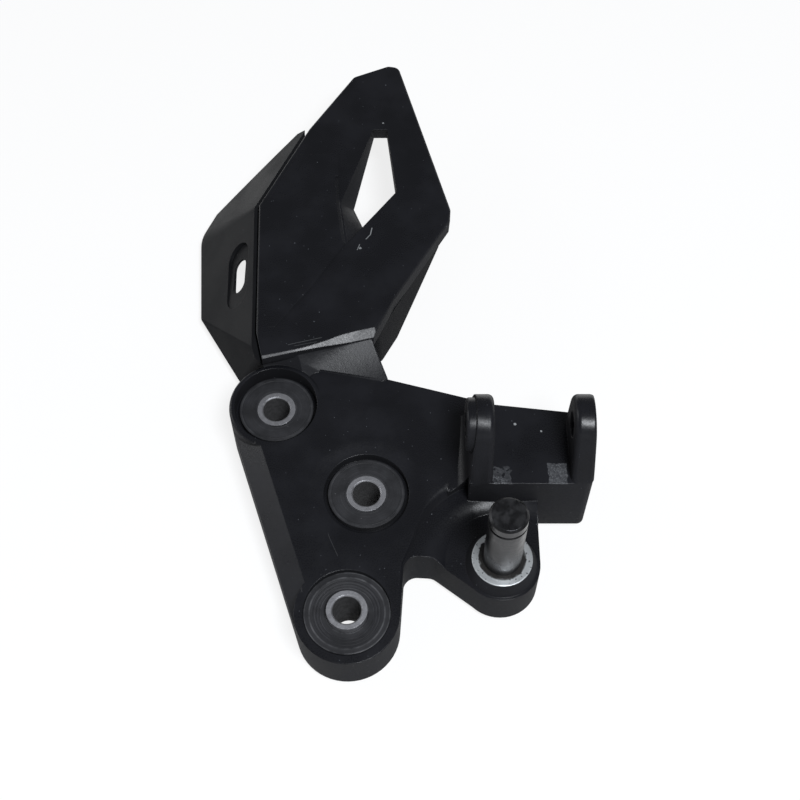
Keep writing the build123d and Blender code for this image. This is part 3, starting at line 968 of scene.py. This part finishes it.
def soften(piece: bpy.types.Object, angle: float = 25.0) -> None:
    """Shade a piece smoothly, with flat faces kept flat and steep edges sharp.

    Args:
        piece: The piece.
        angle: Angle in degrees from which an edge is sharp.
    """
    limit = math.radians(angle)
    work = bmesh.new()
    work.from_mesh(piece.data)
    bmesh.ops.remove_doubles(work, verts=work.verts, dist=MERGE_GAP)
    bmesh.ops.recalc_face_normals(work, faces=work.faces)
    for face in work.faces:
        face.smooth = True
    for edge in work.edges:
        edge.smooth = len(edge.link_faces) == 2 and edge.calc_face_angle() < limit
    mesh = bpy.data.meshes.new(piece.name)
    work.to_mesh(mesh)
    work.free()
    piece.data = mesh
    modifier = piece.modifiers.new("flat_faces", "WEIGHTED_NORMAL")
    modifier.keep_sharp = True
    graph = bpy.context.evaluated_depsgraph_get()
    result = bpy.data.meshes.new_from_object(piece.evaluated_get(graph))
    piece.modifiers.remove(modifier)
    piece.data = result


@dataclass
class HangerCasting:
    """The painted casting: plate, bosses, clevis, neck and heel guard.

    It starts from the CAD node, and gets its finer forms here.
    Its sizes are in millimetres and degrees. Profiles are (radius, height) pairs.
    """

    paint: SatinBlackPaint = SatinBlackPaint()
    node: str = "hanger_casting"
    upper_boss: Place = (-30.2, 31.4, 15.5)
    lower_boss: Place = (-5.4, -39.5, 16.2)
    face_height: float = 20.9
    face_tilt: float = 3.7
    bevel_width: float = 6.6
    bevel_depth: float = 6.0
    dish: tuple[Spot, ...] = (
        (0.0, 3.0), (0.0, -0.7), (13.2, -0.7), (14.6, -0.62), (16.2, -0.38),
        (17.8, -0.14), (19.4, 0.03), (23.0, 0.4), (23.0, 3.0),
    )
    pivot: Spot = (42.3, -22.6)
    swing_radius: float = 27.6
    swing_floor: float = 18.6
    trim_start: float = 32.38
    shoulder_start: float = 26.0
    shoulder: tuple[Spot, ...] = ((0.6, 19.55), (1.6, 20.45), (3.0, 21.05), (5.4, 21.35))
    guard_face: float = 30.0
    sill_line: tuple[Spot, Spot] = ((-34.6, 45.1), (1.9, 54.4))
    sill_slope: float = 0.56
    sill_widths: tuple[tuple[float, float], ...] = (
        (-0.03, 1.1), (0.15, 0.8), (0.33, 0.8), (0.42, 1.0),
        (0.56, 1.6), (0.7, 2.6), (0.83, 3.0), (1.03, 3.0),
    )
    island_run: float = 0.9
    island_edge: tuple[tuple[Spot, Spot, float], ...] = (
        ((-11.6, 123.0), (1.0, 0.05), 31.55),
        ((-11.0, 112.1), (0.99, 0.08), 31.6),
        ((-8.4, 92.8), (0.98, -0.18), 31.7),
        ((-14.0, 83.3), (0.86, -0.50), 31.3),
        ((-19.7, 73.5), (0.84, -0.55), 30.96),
        ((-26.5, 64.3), (0.81, -0.59), 30.5),
    )
    ear_drafts: tuple[tuple[Spot, ...], ...] = (
        ((31.87, 29.0), (34.42, 52.5), (28.0, 52.5), (28.0, 29.0)),
        ((71.30, 27.0), (70.10, 52.5), (74.0, 52.5), (74.0, 27.0)),
    )
    ear_span: tuple[float, float] = (-6.0, 36.0)
    pad_place: Place = (31.0, 13.0, 41.0)
    pad: tuple[Spot, ...] = (
        (4.1, -3.6), (4.1, 0.0), (7.5, 0.0), (8.1, -0.2), (8.4, -0.55), (8.5, -1.0), (8.5, -3.6),
    )
    neck_floor: float = 19.0
    neck_crest: Place = (-27.8, 47.4, 28.0)
    neck_edge: tuple[Place, ...] = (
        (6.05, 41.4, 22.4), (-16.0, 45.1, 22.8), (-19.0, 41.5, 19.9), (-30.0, 43.0, 27.6),
        (-34.9, 44.6, 27.6), (-35.5, 48.0, 27.6), (-33.0, 52.0, 27.6), (-1.0, 58.0, 28.0),
        (1.2, 54.2, 27.8),
    )
    collar: tuple[Spot, ...] = (
        (0.0, 18.0), (14.4, 18.0), (14.4, 22.2), (18.4, 28.2), (19.0, 34.0), (0.0, 34.0),
    )

    def build(self) -> None:
        """Shape a copy of the casting and dress it."""
        piece = merged_copy(self.node, "hanger_casting_finished")
        slopes = (self._side_bevel, self._bush_dish, self._swing_trim, self._swing_shoulder)
        for make_tool in (*slopes, self._sill, self._island_slope):
            work_in(piece, make_tool(), Combine.CUT)
        for outline in self.ear_drafts:
            work_in(piece, self._ear_draft(outline), Combine.CUT)
        for make_tool in (self._pin_pad, self._neck_foot):
            work_in(piece, make_tool(), Combine.JOIN)
        soften(piece)
        piece.data.materials.clear()
        piece.data.materials.append(self.paint.build())
        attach(piece, BODY)
        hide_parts(self.node)
        LOG.info("%s: %d faces", piece.name, len(piece.data.polygons))

    def _face(self, y: float) -> float:
        """Height of the body's leaning face."""
        return self.face_height + y * math.tan(math.radians(self.face_tilt))

    def _side_bevel(self) -> bpy.types.Object:
        """Wedge along the body's straight left side, kept clear of the two bosses."""
        upper, lower = Vector(self.upper_boss[:2]), Vector(self.lower_boss[:2])
        span = (lower - upper).length
        turn = math.asin((self.lower_boss[2] - self.upper_boss[2]) / span)
        heading = math.atan2(lower.y - upper.y, lower.x - upper.x) - turn
        inward = Vector((-math.sin(heading), math.cos(heading)))
        along = Vector((math.cos(heading), math.sin(heading)))
        slope = self.bevel_depth / self.bevel_width
        over = 2.0
        rings = []
        for run in (0.0, span):
            foot = upper - inward * self.upper_boss[2] + along * run
            high, low = foot + inward * (self.bevel_width + over), foot - inward * over
            level = self._face(foot.y)
            top = level + over * slope
            bottom = level - self.bevel_depth - over * slope
            rings.append([(*high, top), (*low, bottom), (*low, top)])
        tool = chain("bevel_tool", rings)
        for x, y, radius in (self.upper_boss, self.lower_boss):
            disc = [(0.0, 0.0), (radius, 0.0), (radius, 40.0), (0.0, 40.0)]
            work_in(tool, turned("boss_keep", disc, upright((x, y))), Combine.CUT)
        return tool

    def _bush_dish(self) -> bpy.types.Object:
        """Turned space over the shallow dish round the middle bush."""
        lean = Matrix.Rotation(math.radians(self.face_tilt), 4, "X")
        return turned("dish_tool", self.dish, upright((0.0, 0.0), self.face_height) @ lean, 192)

    def _swing_trim(self) -> bpy.types.Object:
        """Space of the pedal's swing, cut out of the blend beside the clevis."""
        inner, top = 15.0, 34.0
        outer, floor = self.swing_radius, self.swing_floor
        profile = [(inner, floor), (outer, floor), (outer, top), (inner, top)]
        tool = turned("swing_tool", profile, upright(self.pivot))
        work_in(tool, right_side(self.trim_start), Combine.CUT)
        return tool

    def _swing_shoulder(self) -> bpy.types.Object:
        """Space over the rounded shoulder where the face drops to the pedal's swing space."""
        inside, top = self.swing_radius - 0.8, 24.0
        arc = [(self.swing_radius + run, z) for run, z in ((0.0, self.swing_floor), *self.shoulder)]
        profile = [(inside, self.swing_floor), *arc, (arc[-1][0], top), (inside, top)]
        tool = turned("shoulder_tool", profile, upright(self.pivot), 160)
        work_in(tool, right_side(self.shoulder_start), Combine.CUT)
        return tool

    def _sill(self) -> bpy.types.Object:
        """Slope along the guard's lower edge, which widens towards its right end."""
        start, end = Vector(self.sill_line[0]), Vector(self.sill_line[1])
        along = (end - start).normalized()
        inward = Vector((-along.y, along.x))
        over, past, room = 0.5, 1.0, 3.0
        rings = []
        for share, width in self.sill_widths:
            foot = start.lerp(end, share)
            inner, outer = foot + inward * (width + over), foot - inward * past
            rings.append([
                (*inner, self.guard_face + over * self.sill_slope),
                (*outer, self.guard_face - (width + past) * self.sill_slope),
                (*outer, self.guard_face + room),
            ])
        return chain("sill_tool", rings)

    def _island_slope(self) -> bpy.types.Object:
        """Slope down the right side of the guard's raised island."""
        over, past, skin, room = 0.4, 0.5, 0.04, 2.0
        rings = []
        for (x, y), (right, up), top in self.island_edge:
            width = self.island_run * (top - self.guard_face)
            rise = (top - self.guard_face) / width
            outer = (x + right * past, y + up * past)
            rings.append([
                (x - right * (width + over), y - up * (width + over), top + over * rise),
                (*outer, self.guard_face + skin),
                (*outer, top + room),
            ])
        return chain("island_tool", rings)

    def _ear_draft(self, outline: tuple[Spot, ...]) -> bpy.types.Object:
        """Wedge that gives one of the ears its drafted outer side."""
        return chain("draft_tool", [[(x, y, z) for x, z in outline] for y in self.ear_span])

    def _pin_pad(self) -> bpy.types.Object:
        """Raised round pad on the left ear, about the pin's axis."""
        place = Matrix.Translation(self.pad_place) @ Matrix.Rotation(math.radians(-90.0), 4, "Y")
        return turned("pad_tool", self.pad, place)

    def _neck_foot(self) -> bpy.types.Object:
        """Metal between the neck, the upper boss's rim and the guard's lower edge."""
        count = len(self.neck_edge)
        last, crest = count - 1, 2 * count
        floor = [(x, y, self.neck_floor) for x, y, _ in self.neck_edge]
        faces = [(0, last, 1), *((crest, (k + 1) % count, k) for k in range(1, last))]
        faces.append((crest, 1, last))
        for k in range(count):
            following = (k + 1) % count
            faces.append((k, following, count + following, count + k))
        faces.append(tuple(range(2 * count - 1, last, -1)))
        tool = closed_solid("neck_tool", [*self.neck_edge, *floor, self.neck_crest], faces)
        collar = turned("collar_tool", self.collar, upright(self.upper_boss[:2]), 160)
        work_in(tool, collar, Combine.CUT)
        return tool


@dataclass
class PivotStud:
    """The pedal's pivot stud."""

    steel: BareSteel = BareSteel()

    def build(self) -> None:
        """Dress the stud."""
        dress("pedal_pivot_stud", self.steel.build())


@dataclass
class GuardCover:
    """The moulded cover behind the heel guard, and its screws."""

    plastic: TexturedPlastic = TexturedPlastic()
    oxide: BlackOxide = BlackOxide()

    def build(self) -> None:
        """Dress the cover and the screws."""
        dress("heel_guard_cover", self.plastic.build())
        dress("cover_screws", self.oxide.build())


@dataclass(frozen=True)
class Softbox:
    """A plain square lamp, by its place, the point that it faces, its side and its power."""

    name: str
    place: Place
    aim: Place
    side: float
    power: float
    colour: Colour

    def hang(self) -> None:
        """Put the lamp in the studio."""
        lamp = bpy.data.lights.new(self.name, "AREA")
        lamp.shape = "SQUARE"
        lamp.size = self.side
        lamp.energy = self.power
        lamp.color = self.colour
        holder = bpy.data.objects.new(self.name, lamp)
        holder.location = self.place
        holder.rotation_mode = "QUATERNION"
        view = Vector(self.aim) - Vector(self.place)
        holder.rotation_quaternion = view.to_track_quat("-Z", "Y")
        bpy.context.scene.collection.objects.link(holder)


@dataclass
class Studio:
    """Pale floor, soft light and the photograph's camera."""

    camera_place: Place = (0.0107, -0.188, 0.381)
    camera_lean: float = 31.7
    focal_length: float = 57.375
    floor_radius: float = 30.0
    floor_height: float = -0.0004
    sensor_width: float = 36.0
    world_colour: Colour = (0.93, 0.96, 1.0)
    world_strength: float = 0.20
    softboxes: tuple[Softbox, ...] = (
        Softbox("key", (0.26, -0.43, 1.02), (0.0, 0.03, 0.0), 0.32, 13.0, (0.93, 0.96, 1.0)),
        Softbox("left", (-1.10, 0.35, 0.45), (0.0, 0.05, 0.0), 0.6, 3.0, (0.97, 0.98, 1.0)),
    )

    def build(self) -> None:
        """Lay the floor, hang the lamps and place the camera."""
        self._floor()
        self._world()
        for softbox in self.softboxes:
            softbox.hang()
        self._camera()

    def _floor(self) -> None:
        """A round floor just under the part."""
        sides = 64
        radius, angles = self.floor_radius, [2 * math.pi * k / sides for k in range(sides)]
        corners = [(radius * math.cos(a), radius * math.sin(a), self.floor_height) for a in angles]
        mesh = bpy.data.meshes.new("floor")
        mesh.from_pydata(corners, [], [tuple(range(sides))])
        floor = bpy.data.objects.new("floor", mesh)
        bpy.context.scene.collection.objects.link(floor)
        mesh.materials.append(PaleFloor().build())

    def _world(self) -> None:
        """Plain light from all round."""
        world = bpy.data.worlds.new("studio")
        world.use_nodes = True
        background = world.node_tree.nodes["Background"]
        background.inputs["Color"].default_value = (*self.world_colour, 1.0)
        background.inputs["Strength"].default_value = self.world_strength
        bpy.context.scene.world = world

    def _camera(self) -> None:
        """The camera, where the photograph was taken from."""
        lens = bpy.data.cameras.new("camera")
        lens.lens = self.focal_length
        lens.sensor_width = self.sensor_width
        lens.clip_start, lens.clip_end = 0.01, 100.0
        camera = bpy.data.objects.new("camera", lens)
        camera.location = self.camera_place
        camera.rotation_euler = (math.radians(self.camera_lean), 0.0, 0.0)
        bpy.context.scene.collection.objects.link(camera)
        bpy.context.scene.camera = camera


def plain(box: tuple[Vector, Vector]) -> list[list[float]]:
    """A box's two corners as plain lists of numbers."""
    return [list(corner) for corner in box]


def main() -> None:
    """Dress every piece, light it and place the camera."""
    logging.basicConfig(level=logging.INFO, format="%(name)s: %(message)s")
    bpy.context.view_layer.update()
    bpy.context.scene.view_settings.view_transform = "Standard"
    HangerCasting().build()
    bushes = (
        FrameBush("upper", (-30.2, 31.4), 20.0, 2, 7.1, 4.0, 0.22, 0.0, 0.25),
        FrameBush("middle", (0.0, 0.0), 20.0, 2, 7.1, 4.0, 0.22, 0.0, 0.25),
        FrameBush("lower", (-5.4, -39.5), 17.35, 3, 8.4, 1.0, 0.16, 0.12, 0.8),
    )
    for bush in bushes:
        bush.build()
    PivotStud().build()
    GuardCover().build()
    Studio().build()


if __name__ == "__main__":
    main()
